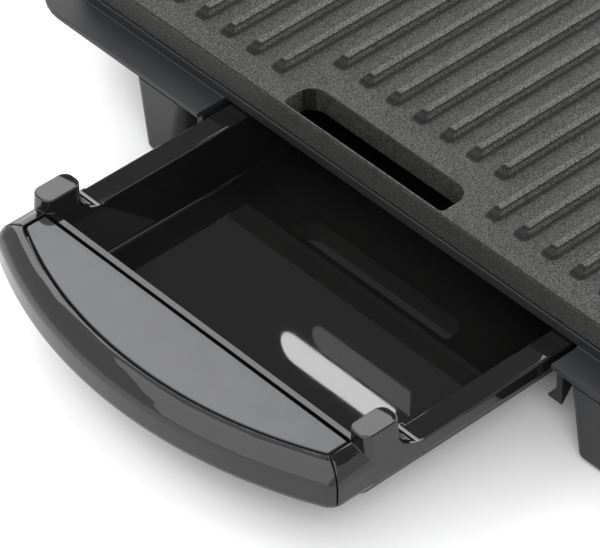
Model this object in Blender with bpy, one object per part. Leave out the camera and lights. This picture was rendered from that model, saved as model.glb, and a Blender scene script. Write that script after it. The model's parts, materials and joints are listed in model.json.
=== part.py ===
"""Electric griddle: a ribbed cooking plate over a low plastic base, with a pull-out drip tray.

Sizes are in millimetres until a mesh is built. X runs across the appliance, Y runs from the
drip tray (front) to the control box (rear), and Z runs up from the table. In the design
frame the cooking plate's front face is at y = 0; the empty "griddle_origin" then moves the
whole object so that the middle of its footprint is the world origin.
"""
import math

import bmesh
import bpy
from mathutils import Vector

MM = 0.001
GAP = 0.3

# Cooking plate
PLATE_WIDTH = 304.0
PLATE_LENGTH = 406.0
PLATE_TOP = 43.0
PLATE_EDGE = 9.0
PLATE_SKIN = 4.5
PLATE_CORNER = 6.0
PLATE_RIM = 6.0
RIB_PITCH = 12.0
RIB_COUNT = 24
RIB_BASE = 5.4
RIB_CREST = 2.2
RIB_HEIGHT = 2.6
RIB_HIP = 3.2
RIB_START = 10.2
SLOT_RIBS = 7
SLOT_RIB_START = 25.4
SLOT_X = -17.8
SLOT_HALF_LENGTH = 35.6
SLOT_Y0 = 1.4
SLOT_Y1 = 14.0
SLOT_FRONT_CORNER = 1.5
SLOT_REAR_CORNER = 6.0

# Base: a flat ledge round the plate, a band that carries the plate, and a tub below
LEDGE_REACH = 12.0
LEDGE_TOP = 30.0
LEDGE_THICK = 2.0
LEDGE_CORNER = 18.0
BAND_PROUD = 0.5
BAND_THICK = 2.1
TUB_INSET = 24.0
TUB_WALL = 2.2
TUB_CORNER = 12.0
COVER_BOTTOM = 6.0
COVER_THICK = 2.0
BAY_HALF = 78.6
BAY_END = 121.0

# Drip tray, drawn in the half-open position it rests in
TRAY_FLANGE_TOP = 29.4
TRAY_FLANGE_HALF = 76.1
TRAY_INNER_HALF = 67.2
TRAY_BOTTOM = 9.0
TRAY_WALL = 2.0
TRAY_LIP = 5.6
TRAY_CORNER = 7.0
TRAY_FRONT_WALL = -80.5
TRAY_REAR = 52.0
HANDLE_TOP = 37.0
HANDLE_HALF = 76.0
HANDLE_FRONT = -115.4
HANDLE_SPLIT = -95.0
POST_TOP = 42.0
POST_X0 = 66.2
POST_X1 = 74.8
POST_Y0 = -83.4
POST_Y1 = -69.0
POST_SWEEP = 8.0
INLAY_HALF = 67.3
INLAY_BACK = -83.5
INLAY_SIDE = -91.3
INLAY_FRONT = -107.0

# Legs
LEG_X0 = 85.6
LEG_X1 = 109.2
LEG_DEPTH = 24.0
LEG_TAPER = 4.2
LEG_BOTTOM = 1.0

# Heating element and the sheet below it
ELEMENT_RADIUS = 3.0
REFLECTOR_BOTTOM = 29.9
REFLECTOR_TOP = 30.5

# Control box behind the plate
BOX_HALF = 70.0
BOX_REAR = 448.0
BOX_BOTTOM = 4.0
BOX_WALL = 2.0
BOX_COVER_TOP = 33.0
BOX_COVER_THICK = 2.5
KNOB_Y = 428.0
KNOB_RADIUS = 17.0
KNOB_TOP = 43.0
LAMP_X = (38.0, 54.0)
INLET_X = -46.0
INLET_Z = 17.5
INLET_FLANGE = 2.3
INLET_PINS = ((INLET_X - 7, INLET_Z - 3), (INLET_X, INLET_Z + 1.5), (INLET_X + 7, INLET_Z - 3))

PLATE_UNDER = PLATE_TOP - PLATE_SKIN
PLATE_BOTTOM = PLATE_TOP - PLATE_EDGE
ELEMENT_Z = PLATE_UNDER - GAP - ELEMENT_RADIUS
LEDGE_UNDER = LEDGE_TOP - LEDGE_THICK
TUB_HALF = PLATE_WIDTH / 2 + LEDGE_REACH - TUB_INSET
TUB_FRONT = TUB_INSET - LEDGE_REACH
TUB_REAR = PLATE_LENGTH - TUB_FRONT
COVER_TOP = COVER_BOTTOM + COVER_THICK
CONTROL_REAR = BOX_REAR + INLET_FLANGE
Y_SHIFT = -(HANDLE_FRONT + CONTROL_REAR) / 2


# ---------------------------------------------------------------- outlines and meshes

def arc(cx, cy, radius, start, end, steps):
    """Points on a circle from one angle to another, in degrees."""
    points = []
    for i in range(steps + 1):
        angle = math.radians(start + (end - start) * i / steps)
        points.append((cx + radius * math.cos(angle), cy + radius * math.sin(angle)))
    return points


def rounded_rect(x0, x1, y0, y1, radius, steps=4):
    """A rectangle with round corners, counter-clockwise."""
    points = arc(x1 - radius, y0 + radius, radius, -90, 0, steps)
    points += arc(x1 - radius, y1 - radius, radius, 0, 90, steps)
    points += arc(x0 + radius, y1 - radius, radius, 90, 180, steps)
    points += arc(x0 + radius, y0 + radius, radius, 180, 270, steps)
    return points


def rectangle(x0, x1, y0, y1):
    return [(x0, y0), (x1, y0), (x1, y1), (x0, y1)]


def stadium(x0, x1, y0, y1, steps=8):
    """A slot with half-round ends that runs along X."""
    radius = (y1 - y0) / 2
    middle = (y0 + y1) / 2
    points = arc(x1 - radius, middle, radius, -90, 90, steps)
    points += arc(x0 + radius, middle, radius, 90, 270, steps)
    return points


def circle(cx, cy, radius, count=16):
    return arc(cx, cy, radius, 0, 360 * (count - 1) / count, count - 1)


def bowed(half, back, side, front, corner, steps=12):
    """A straight back, short sides and a front that bows forward, with eased corners."""
    sagitta = side - front
    radius = (half ** 2 + sagitta ** 2) / (2 * sagitta)
    inner = half - corner
    angle = math.degrees(math.asin(inner / radius))
    bow = arc(0, front + radius, radius, 270 - angle, 270 + angle, steps)
    shoulder = Vector((-half, side + corner))
    elbow = Vector((-half, side))
    left = []
    for i in range(4):
        t = i / 4
        point = shoulder * (1 - t) ** 2 + elbow * 2 * t * (1 - t) + Vector(bow[0]) * t ** 2
        left.append((point.x, point.y))
    right = [(-x, y) for x, y in reversed(left)]
    return [(half, back), (-half, back)] + left + bow + right


def at(outline, z):
    """Lift a plan outline to a height."""
    return [(x, y, z) for x, y in outline]


def loft(name, rings):
    """A closed solid through rings of equal length, capped at both ends."""
    mesh = bpy.data.meshes.new(name)
    solid = bmesh.new()
    loops = [[solid.verts.new(Vector(p) * MM) for p in ring] for ring in rings]
    count = len(rings[0])
    for low, high in zip(loops, loops[1:]):
        for i in range(count):
            j = (i + 1) % count
            solid.faces.new((low[i], low[j], high[j], high[i]))
    solid.faces.new(list(reversed(loops[0])))
    solid.faces.new(loops[-1])
    bmesh.ops.recalc_face_normals(solid, faces=solid.faces)
    solid.to_mesh(mesh)
    solid.free()
    obj = bpy.data.objects.new(name, mesh)
    bpy.context.scene.collection.objects.link(obj)
    return obj


def prism(name, outline, z0, z1):
    return loft(name, [at(outline, z0), at(outline, z1)])


def box(name, x0, x1, y0, y1, z0, z1):
    return prism(name, rectangle(x0, x1, y0, y1), z0, z1)


def prism_x(name, profile, x0, x1):
    """A solid with a Y-Z profile, extruded across the appliance."""
    return loft(name, [[(x, y, z) for y, z in profile] for x in (x0, x1)])


def prism_y(name, profile, y0, y1):
    """A solid with an X-Z profile, extruded along the appliance."""
    return loft(name, [[(x, y, z) for x, z in profile] for y in (y0, y1)])


def turned(name, profile, count=16):
    """A solid of revolution about Z from (radius, height) pairs."""
    rings = [at(circle(0, 0, radius, count), z) for radius, z in profile]
    return loft(name, rings)


def boolean(target, tool, operation):
    """Join or cut two solids for good, and drop the tool."""
    modifier = target.modifiers.new(operation, 'BOOLEAN')
    modifier.operation = operation
    modifier.solver = 'EXACT'
    modifier.object = tool
    bpy.context.view_layer.update()
    graph = bpy.context.evaluated_depsgraph_get()
    mesh = bpy.data.meshes.new_from_object(target.evaluated_get(graph))
    target.modifiers.clear()
    target.data = mesh
    bpy.data.objects.remove(tool)


def cut(target, tool):
    boolean(target, tool, 'DIFFERENCE')


def join(target, tool):
    boolean(target, tool, 'UNION')


def tube(name, points, radius, sides=2):
    """A round bar or wire along a route of points."""
    curve = bpy.data.curves.new(name, 'CURVE')
    curve.dimensions = '3D'
    curve.bevel_depth = radius * MM
    curve.bevel_resolution = sides
    curve.use_fill_caps = True
    spline = curve.splines.new('POLY')
    spline.points.add(len(points) - 1)
    for target, point in zip(spline.points, points):
        target.co = (point[0] * MM, point[1] * MM, point[2] * MM, 1)
    obj = bpy.data.objects.new(name, curve)
    bpy.context.scene.collection.objects.link(obj)
    return obj


def rounded_route(corners, radius, steps=4):
    """A route through corner points, with each bend turned into an arc-like curve."""
    route = [Vector(corners[0])]
    for before, corner, after in zip(corners, corners[1:], corners[2:]):
        before = Vector(before)
        corner = Vector(corner)
        after = Vector(after)
        start = corner + (before - corner).normalized() * radius
        end = corner + (after - corner).normalized() * radius
        for i in range(steps + 1):
            t = i / steps
            route.append(start * (1 - t) ** 2 + corner * 2 * t * (1 - t) + end * t ** 2)
    route.append(Vector(corners[-1]))
    return route


# ---------------------------------------------------------------- materials and placing

def material(name, colour, roughness, metallic=0.0):
    """A Principled material."""
    made = bpy.data.materials.new(name)
    made.use_nodes = True
    shader = made.node_tree.nodes['Principled BSDF']
    shader.inputs['Base Color'].default_value = (*colour, 1.0)
    shader.inputs['Roughness'].default_value = roughness
    shader.inputs['Metallic'].default_value = metallic
    return made


def materials():
    """Every finish on the appliance, by name."""
    return {
        'nonstick': material('nonstick', (0.09, 0.088, 0.085), 0.55),
        'base_plastic': material('base_plastic', (0.10, 0.10, 0.105), 0.45),
        'tray_plastic': material('tray_plastic', (0.03, 0.03, 0.03), 0.12),
        'inlay': material('inlay', (0.26, 0.27, 0.28), 0.35),
        'black_nylon': material('black_nylon', (0.02, 0.02, 0.02), 0.4),
        'rubber': material('rubber', (0.03, 0.03, 0.03), 0.8),
        'element_steel': material('element_steel', (0.18, 0.17, 0.16), 0.4, 1.0),
        'zinc_steel': material('zinc_steel', (0.6, 0.6, 0.58), 0.35, 1.0),
        'aluminised': material('aluminised', (0.7, 0.7, 0.7), 0.3, 1.0),
        'ceramic': material('ceramic', (0.75, 0.73, 0.68), 0.6),
        'brass': material('brass', (0.7, 0.55, 0.25), 0.3, 1.0),
        'copper': material('copper', (0.7, 0.35, 0.2), 0.35, 1.0),
        'red_lens': material('red_lens', (0.6, 0.03, 0.02), 0.15),
        'green_lens': material('green_lens', (0.03, 0.45, 0.1), 0.15),
        'white_print': material('white_print', (0.8, 0.8, 0.8), 0.5),
        'wire_brown': material('wire_brown', (0.2, 0.08, 0.03), 0.5),
        'wire_blue': material('wire_blue', (0.03, 0.1, 0.4), 0.5),
        'wire_earth': material('wire_earth', (0.3, 0.45, 0.05), 0.5),
    }


def tidy(obj, finish, smooth_angle=35.0):
    """Give a mesh its finish, weld stray points and shade its round parts smooth."""
    if obj.type == 'MESH':
        solid = bmesh.new()
        solid.from_mesh(obj.data)
        bmesh.ops.remove_doubles(solid, verts=solid.verts, dist=0.00001)
        bmesh.ops.recalc_face_normals(solid, faces=solid.faces)
        solid.to_mesh(obj.data)
        solid.free()
        obj.data.shade_smooth()
        obj.data.set_sharp_from_angle(angle=math.radians(smooth_angle))
    obj.data.materials.clear()
    obj.data.materials.append(finish)
    return obj


def empty(name, location, parent=None):
    """A parent that carries a group of pieces."""
    made = bpy.data.objects.new(name, None)
    bpy.context.scene.collection.objects.link(made)
    made.location = Vector(location) * MM
    made.parent = parent
    return made


def seat(obj, parent, location=(0, 0, 0), turn=(0, 0, 0)):
    """Place a piece under its parent, in millimetres and degrees."""
    obj.parent = parent
    obj.location = Vector(location) * MM
    obj.rotation_euler = [math.radians(a) for a in turn]
    return obj


# ---------------------------------------------------------------- cooking plate

def rib(x, start, end):
    """One trapezoid rib with hipped ends, sunk 1 mm into the plate."""
    sink = 1.0
    slope = (RIB_BASE - RIB_CREST) / 2 / RIB_HEIGHT
    foot = RIB_BASE / 2 + slope * sink
    crest = RIB_CREST / 2
    hip = RIB_HIP / RIB_HEIGHT * sink
    low = rectangle(x - foot, x + foot, start - hip, end + hip)
    high = rectangle(x - crest, x + crest, start + RIB_HIP, end - RIB_HIP)
    return loft('rib', [at(low, PLATE_TOP - sink), at(high, PLATE_TOP + RIB_HEIGHT)])


def slot_outline():
    """The drain slot: nearly square corners by the front edge, round ones behind."""
    x0 = SLOT_X - SLOT_HALF_LENGTH
    x1 = SLOT_X + SLOT_HALF_LENGTH
    near, far = SLOT_FRONT_CORNER, SLOT_REAR_CORNER
    points = arc(x1 - near, SLOT_Y0 + near, near, -90, 0, 3)
    points += arc(x1 - far, SLOT_Y1 - far, far, 0, 90, 8)
    points += arc(x0 + far, SLOT_Y1 - far, far, 90, 180, 8)
    points += arc(x0 + near, SLOT_Y0 + near, near, 180, 270, 3)
    return points


def rib_places():
    """The middle of each rib and the point where it starts behind the front edge."""
    places = []
    for i in range(RIB_COUNT):
        x = (i - (RIB_COUNT - 1) / 2) * RIB_PITCH
        behind_slot = abs(x - SLOT_X) < SLOT_RIBS * RIB_PITCH / 2
        places.append((x, SLOT_RIB_START if behind_slot else RIB_START))
    return places


def plate_pocket():
    """The hollow under the plate, which stops behind the drain slot."""
    half = PLATE_WIDTH / 2 - PLATE_RIM
    rear = PLATE_LENGTH - PLATE_RIM
    boss_left = SLOT_X - SLOT_HALF_LENGTH - 4
    boss_right = SLOT_X + SLOT_HALF_LENGTH + 4
    boss_back = SLOT_Y1 + 4
    outline = [(-half, PLATE_RIM), (boss_left, PLATE_RIM), (boss_left, boss_back)]
    outline += [(boss_right, boss_back), (boss_right, PLATE_RIM), (half, PLATE_RIM)]
    outline += [(half, rear), (-half, rear)]
    return prism('pocket', outline, PLATE_BOTTOM - 1, PLATE_UNDER)


def plate_screw_places():
    x = TUB_HALF - 14
    return [(-x, 28), (x, 28), (-x, PLATE_LENGTH - 28), (x, PLATE_LENGTH - 28)]


def reflector_screw_places():
    return [(-104, PLATE_LENGTH / 2), (104, PLATE_LENGTH / 2)]


def clamp_places():
    """Points on the element's straight runs where a strap holds it up."""
    return [(-86, 130), (86, 130), (-86, 270), (86, 270)]


def make_plate():
    """The cast plate with its ribs, drain slot, hollow underside and screw bosses."""
    half = PLATE_WIDTH / 2
    ease = 1.2
    outer = rounded_rect(-half, half, 0, PLATE_LENGTH, PLATE_CORNER, 6)
    inner = rounded_rect(-half + ease, half - ease, ease, PLATE_LENGTH - ease, PLATE_CORNER - ease, 6)
    rings = [at(outer, PLATE_BOTTOM), at(outer, PLATE_TOP - ease), at(inner, PLATE_TOP)]
    plate = loft('grill_plate', rings)
    cut(plate, plate_pocket())
    for x, y in plate_screw_places():
        join(plate, prism('boss', circle(x, y, 5, 12), LEDGE_TOP + 0.4, PLATE_UNDER + 1))
        cut(plate, prism('bore', circle(x, y, 2.0, 8), LEDGE_TOP - 1, PLATE_UNDER - 1))
    for x, y in reflector_screw_places():
        join(plate, prism('boss', circle(x, y, 4, 10), REFLECTOR_TOP + GAP, PLATE_UNDER + 1))
        cut(plate, prism('bore', circle(x, y, 1.5, 8), 30, PLATE_UNDER - 1))
    for x, y in clamp_places():
        side = math.copysign(7.5, x)
        join(plate, prism('boss', circle(x + side, y, 3, 10), 34.6, PLATE_UNDER + 1))
        cut(plate, prism('bore', circle(x + side, y, 1.3, 8), 34, PLATE_UNDER - 0.8))
    for x, start in rib_places():
        join(plate, rib(x, start, PLATE_LENGTH - RIB_START))
    cut(plate, prism('slot', slot_outline(), PLATE_BOTTOM - 2, PLATE_TOP + 4))
    return plate


# ---------------------------------------------------------------- base

def cover_screw_places():
    x = TUB_HALF - 6.5
    return [(side * x, y) for side in (-1, 1) for y in (64, PLATE_LENGTH - 64)]


def leg_places():
    """Side sign and middle of each leg along Y, front pair first."""
    front = -LEDGE_REACH + LEG_DEPTH / 2
    rear = PLATE_LENGTH + LEDGE_REACH - LEG_DEPTH / 2
    return {'front_left': (-1, front), 'front_right': (1, front),
            'rear_left': (-1, rear), 'rear_right': (1, rear)}


def make_housing():
    """Ledge, plate band and tub as one moulding."""
    half = PLATE_WIDTH / 2
    reach = LEDGE_REACH
    outer = rounded_rect(-half - reach, half + reach, -reach, PLATE_LENGTH + reach, LEDGE_CORNER, 8)
    housing = prism('housing', outer, LEDGE_UNDER, LEDGE_TOP)
    wall = rounded_rect(-TUB_HALF, TUB_HALF, TUB_FRONT, TUB_REAR, TUB_CORNER)
    join(housing, prism('tub', wall, COVER_TOP + GAP, LEDGE_UNDER + 0.5))
    proud = BAND_PROUD
    band = rounded_rect(-half - proud, half + proud, -proud, PLATE_LENGTH + proud, PLATE_CORNER + proud, 6)
    join(housing, prism('band', band, LEDGE_TOP - 0.5, PLATE_BOTTOM - GAP))
    lip = proud - BAND_THICK
    inside = rounded_rect(-half - lip, half + lip, -lip, PLATE_LENGTH + lip, PLATE_CORNER + lip, 6)
    cut(housing, prism('band_inside', inside, LEDGE_TOP, PLATE_BOTTOM + 1))
    x = TUB_HALF - TUB_WALL
    y0 = TUB_FRONT + TUB_WALL
    y1 = TUB_REAR - TUB_WALL
    hollow = rounded_rect(-x, x, y0, y1, TUB_CORNER - TUB_WALL)
    cut(housing, prism('hollow', hollow, COVER_BOTTOM, LEDGE_TOP + 1))
    add_ears(housing)
    add_cover_bosses(housing)
    add_leg_bosses(housing)
    open_bay(housing)
    open_control_end(housing)
    return housing


def add_ears(housing):
    """Corner ears that the plate screws pass through."""
    for x, y in plate_screw_places():
        side = math.copysign(1, x)
        wall = side * (TUB_HALF - 1)
        inner = x - side * 7
        near = y < PLATE_LENGTH / 2
        y0 = TUB_FRONT + 1 if near else y - 7
        y1 = y + 7 if near else TUB_REAR - 1
        join(housing, box('ear', min(wall, inner), max(wall, inner), y0, y1, LEDGE_UNDER, LEDGE_TOP))
        cut(housing, prism('hole', circle(x, y, 2.4, 10), LEDGE_UNDER - 1, LEDGE_TOP + 1))


def add_cover_bosses(housing):
    """Bored columns on the tub wall for the bottom cover's screws."""
    for x, y in cover_screw_places():
        join(housing, prism('boss', circle(x, y, 4.4, 10), COVER_TOP + GAP, LEDGE_UNDER - 2))
        cut(housing, prism('bore', circle(x, y, 1.4, 8), COVER_BOTTOM, COVER_TOP + 12))


def add_leg_bosses(housing):
    """Bored stubs under the ledge that the legs plug onto."""
    middle = (LEG_X0 + LEG_X1) / 2
    for side, y in leg_places().values():
        join(housing, prism('stub', circle(side * middle, y, 4, 12), 20.3, LEDGE_UNDER + 0.5))
        cut(housing, prism('bore', circle(side * middle, y, 1.6, 8), 19, LEDGE_UNDER - 1))


def open_bay(housing):
    """The drawer opening through the ledge and the tub's front wall."""
    cut(housing, box('notch', -BAY_HALF, BAY_HALF, -LEDGE_REACH - 1, TUB_FRONT + 4, 20, LEDGE_TOP))
    cut(housing, box('door', -BAY_HALF - 4, BAY_HALF + 4, TUB_FRONT - 1, TUB_FRONT + 4, 5, LEDGE_UNDER))


def open_control_end(housing):
    """The rear notch for the control cover, and the way through for wires."""
    rear = PLATE_LENGTH + BAND_PROUD
    cut(housing, box('notch', -BOX_HALF - 1, BOX_HALF + 1, rear, rear + 20, 20, LEDGE_TOP + 1))
    cut(housing, box('pass', -34, 34, TUB_REAR - 4, TUB_REAR + 1, 12, 24))


def make_cover():
    """Bottom cover with bay walls, runners for the tray and cooling slots."""
    outline = rounded_rect(-TUB_HALF, TUB_HALF, TUB_FRONT, TUB_REAR, TUB_CORNER)
    cover = prism('bottom_cover', outline, COVER_BOTTOM, COVER_TOP)
    inner = BAY_HALF + 5.4
    outer = inner + 1.8
    wall = [(-outer, 16), (-inner, 16), (-inner, BAY_END), (inner, BAY_END), (inner, 16), (outer, 16)]
    wall += [(outer, BAY_END + 1.8), (-outer, BAY_END + 1.8)]
    join(cover, prism('bay_wall', wall, COVER_TOP - 0.5, 27))
    for side in (-1, 1):
        x = side * 50
        join(cover, box('runner', x - 1, x + 1, 14, 116, COVER_TOP - 0.5, TRAY_BOTTOM - GAP))
    for side in (-1, 1):
        for row in range(4):
            y = 170 + row * 24
            x = side * 60
            cut(cover, prism('vent', stadium(x - 28, x + 28, y, y + 5, 3), COVER_BOTTOM - 1, COVER_TOP + 1))
    for x, y in cover_screw_places():
        cut(cover, prism('hole', circle(x, y, 1.9, 8), COVER_BOTTOM - 1, COVER_TOP + 1))
    return cover


def make_leg(name):
    """A tapered leg, drawn round its own middle, with a bore for its screw and foot."""
    half_x = (LEG_X1 - LEG_X0) / 2
    half_y = LEG_DEPTH / 2
    top = LEDGE_UNDER - GAP
    rings = []
    for z, shrink, radius in ((LEG_BOTTOM, 1.5, 3.0), (LEG_BOTTOM + 0.9, 1.15, 3.0),
                              (LEG_BOTTOM + 2.8, 0.95, 3.0), (top, 0.0, 3.2)):
        inset = LEG_TAPER * shrink
        lift = max(inset - LEG_TAPER, 0)
        outline = rounded_rect(inset - half_x, half_x - inset, lift - half_y, half_y - inset, radius)
        rings.append(at(outline, z))
    leg = loft(name, rings)
    cut(leg, prism('counterbore', circle(0, 0, 3.9, 12), 0, 14))
    cut(leg, prism('bore', circle(0, 0, 1.9, 8), 13, 21))
    cut(leg, prism('socket', circle(0, 0, 4.3, 12), 20, top + 1))
    return leg


def make_foot(name):
    """A rubber plug pushed into the leg, standing 1 mm proud."""
    return turned(name, [(3.0, 0.0), (3.6, 0.5), (3.6, 7.5), (2.9, 8.2)], 12)


def make_screw(name, head, head_height, shank, length):
    """A pan head with a round recess, head down, shank up."""
    recess = head * 0.42
    profile = [(recess * 0.8, head_height * 0.6), (recess, 0.0), (head * 0.85, 0.0)]
    profile += [(head, head_height * 0.4), (head, head_height), (shank, head_height)]
    profile += [(shank, head_height + length - shank), (shank * 0.4, head_height + length)]
    return turned(name, profile, 10)


def make_rail(name, side):
    """A guide rail under the ledge, with a hooked nose at the front."""
    top = LEDGE_UNDER - GAP
    nose = -9.5
    web = [(nose, top), (nose, 13.8), (nose + 0.6, 13.8), (nose + 6.6, 22), (110, 22), (110, top)]
    inner = BAY_HALF + 0.4
    outer = inner + 2.5
    rail = prism_x(name, web, min(side * inner, side * outer), max(side * inner, side * outer))
    toe = [(side * (inner + 1), 20.6), (side * (inner - 3.3), 14.5), (side * (inner - 3.3), 13.8)]
    toe += [(side * (inner + 1), 13.8)]
    join(rail, prism_y('toe', toe, nose, nose + 1.6))
    return rail


# ---------------------------------------------------------------- drip tray

def tray_pan():
    """Outer shape of the tray's drafted bowl."""
    low = rounded_rect(-66.3, 66.3, TRAY_FRONT_WALL + 1.0, 47, TRAY_CORNER)
    high = rounded_rect(-69.2, 69.2, TRAY_FRONT_WALL - 1.8, 50, TRAY_CORNER)
    return loft('drip_tray', [at(low, TRAY_BOTTOM), at(high, TRAY_FLANGE_TOP)])


def tray_cavity():
    """The hollow that holds the drippings."""
    half = TRAY_INNER_HALF
    low = rounded_rect(3.2 - half, half - 3.2, TRAY_FRONT_WALL + 3.1, 45, TRAY_CORNER - 2)
    high = rounded_rect(-half, half, TRAY_FRONT_WALL, 48, TRAY_CORNER - 2)
    rings = [at(low, TRAY_BOTTOM + 2.3), at(high, TRAY_FLANGE_TOP), at(high, HANDLE_TOP + 8)]
    return loft('cavity', rings)


def tray_flange():
    """The flat rim and its turned-down lip along both sides and the rear."""
    half = TRAY_FLANGE_HALF
    under = TRAY_FLANGE_TOP - TRAY_LIP
    flange = prism('flange', rounded_rect(-half, half, -80, TRAY_REAR, 5), under, TRAY_FLANGE_TOP)
    inner = half - 1.8
    inside = rounded_rect(-inner, inner, -78, TRAY_REAR - 1.8, 3.4)
    cut(flange, prism('under', inside, under - 1, TRAY_FLANGE_TOP - TRAY_WALL))
    return flange


def handle_block():
    """The whole bowed front with its drafted, slightly rounded face."""
    back = -78
    sections = ((21.4, 72.0, -110.8), (22.6, 74.6, -113.8), (25.0, HANDLE_HALF, HANDLE_FRONT),
                (31.0, 73.8, -113.4), (36.0, 71.0, -111.0), (HANDLE_TOP, 70.2, -110.2))
    rings = []
    for z, half, front in sections:
        side = front + 18.5
        rings.append(at(bowed(half, back, side, front, 3.5), z))
    return loft('handle', rings)


def tray_shoulders():
    """The rear part of the handle, which belongs to the tray, with the inlay's shelf."""
    shoulders = handle_block()
    y = HANDLE_SPLIT + GAP
    cut(shoulders, box('front', -90, 90, HANDLE_FRONT - 5, y, 10, 50))
    shelf = bowed(INLAY_HALF - 0.4, -79, INLAY_SIDE, INLAY_FRONT + 0.4, 0.8)
    join(shoulders, prism('shelf', shelf, 21.4, HANDLE_TOP - 1.4))
    return shoulders


def tongue(side, ease):
    """A lug behind the handle front, or with some ease the pocket that takes it."""
    x = side * 30
    return box('tongue', x - 5 - ease, x + 5 + ease, -110, -99 + ease, 23 - ease, 26 + ease)


def make_handle_front():
    """The bowed bar along the front edge, plugged into the tray with two lugs."""
    front = handle_block()
    front.name = 'handle_front'
    y = HANDLE_SPLIT - GAP
    cut(front, box('rear', -90, 90, y, -60, 10, 50))
    inside = bowed(INLAY_HALF + 0.9, -79, INLAY_SIDE - 1.0, INLAY_FRONT - 1.5, 0.8)
    cut(front, prism('inside', inside, 10, 50))
    for side in (-1, 1):
        join(front, tongue(side, 0))
    return front


def tray_post(side):
    """One upright at the tray's front corner, swept down to the flange behind."""
    x0 = min(side * POST_X0, side * POST_X1)
    x1 = max(side * POST_X0, side * POST_X1)
    post = prism('post', rounded_rect(x0, x1, POST_Y0, POST_Y1, 3.3), 28, POST_TOP)
    y = POST_Y1 + POST_SWEEP
    z = TRAY_FLANGE_TOP + POST_SWEEP
    sweep = arc(y, z, POST_SWEEP, 180, 270, 5)
    profile = [(POST_Y1 - 4, 28), (POST_Y1 - 4, z)] + sweep + [(y, 28)]
    join(post, prism_x('sweep', profile, x0 + 0.2, x1 - 0.2))
    return post


def make_tray():
    """Bowl, rim, shoulders and posts as one moulding."""
    tray = tray_pan()
    join(tray, tray_flange())
    join(tray, tray_shoulders())
    join(tray, tray_post(-1))
    join(tray, tray_post(1))
    cut(tray, tray_cavity())
    recess = bowed(INLAY_HALF + 0.7, INLAY_BACK + 0.6, INLAY_SIDE, INLAY_FRONT - 0.7, 0.8)
    cut(tray, prism('recess', recess, HANDLE_TOP - 1.8, HANDLE_TOP + 1))
    grip = bowed(63.5, -84.6, -90.5, -104.4, 3.0)
    cut(tray, prism('grip', grip, 15, HANDLE_TOP - 4))
    for side in (-1, 1):
        cut(tray, tongue(side, GAP))
    return tray


def make_inlay():
    """The grey insert let into the top of the handle."""
    outline = bowed(INLAY_HALF, INLAY_BACK, INLAY_SIDE, INLAY_FRONT, 0.8)
    return prism('handle_inlay', outline, HANDLE_TOP - 1.5, HANDLE_TOP - 0.1)


# ---------------------------------------------------------------- heating and sensing

def make_element():
    """The sheathed element, folded into a W under the plate."""
    plan = [(-22, 372), (-22, 356), (-86, 356), (-86, 44), (-36, 44), (-36, 300)]
    plan += [(36, 300), (36, 44), (86, 44), (86, 356), (22, 356), (22, 372)]
    corners = [(x, y, ELEMENT_Z) for x, y in plan]
    return tube('heating_element', rounded_route(corners, 12, 4), ELEMENT_RADIUS, 2)


def make_element_pin(name):
    """A cold pin with its ceramic collar, pointing to the rear."""
    profile = [(2.6, 0.0), (2.6, 4.0), (1.2, 4.0), (1.2, 13.0)]
    return turned(name, profile, 10)


def make_clamp(name, side):
    """A saddle strap that holds the element up against the plate."""
    bottom = ELEMENT_Z - ELEMENT_RADIUS - GAP
    skin = 0.7
    foot_z = 34.0
    inner = ELEMENT_RADIUS + GAP
    reach = side * 11
    outer = inner + skin
    profile = [(reach, foot_z), (reach, foot_z - skin), (side * outer, foot_z - skin)]
    profile += [(side * outer, bottom - skin), (-side * outer, bottom - skin)]
    profile += [(-side * outer, 36), (-side * inner, 36), (-side * inner, bottom)]
    profile += [(side * inner, bottom), (side * inner, foot_z)]
    clamp = prism_y(name, profile, -5, 5)
    cut(clamp, prism('hole', circle(side * 7.5, 0, 1.7, 8), foot_z - 2, foot_z + 1))
    return clamp


def make_reflector():
    """A thin sheet below the element that throws its heat up."""
    reflector = box('heat_reflector', -112, 112, 26, 376, REFLECTOR_BOTTOM, REFLECTOR_TOP)
    for x, y in reflector_screw_places():
        cut(reflector, prism('hole', circle(x, y, 1.9, 8), 29, 33))
    return reflector


def make_bulb():
    """The thermostat's sensing bulb, along Y."""
    return turned('sensor_bulb', [(1.2, 0), (2.2, 1.5), (2.2, 58), (1.0, 60)], 10)


def make_capillary():
    """The fine tube from the bulb to the thermostat."""
    corners = [(0, 367.2, 35.1), (0, 384, 35.1), (0, 384, 18), (0, 404, 18), (0, 412, 18)]
    return tube('capillary_tube', rounded_route(corners, 4, 3), 0.8, 1)


def make_sensor_clip():
    """A folded strip with two troughs, for the bulb and the thermal fuse."""
    top = 38.1
    low = 31.7
    skin = 0.8
    outer = [(-16.4, top), (-16.4, low), (3.8, low), (3.8, top)]
    bulb = [(3.0, top), (3.0, low + skin), (-3.0, low + skin), (-3.0, top)]
    between = [(-9.6, top)]
    fuse = [(-9.6, low + skin), (-15.6, low + skin), (-15.6, top)]
    return prism_y('sensor_clip', outer + bulb + between + fuse, 312, 318)


def make_fuse():
    """The one-shot thermal cut-out, a small metal cylinder along Y."""
    return turned('thermal_fuse', [(1.0, 0), (2.4, 0), (2.4, 14), (1.0, 14), (1.0, 17)], 10)


# ---------------------------------------------------------------- control box

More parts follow.
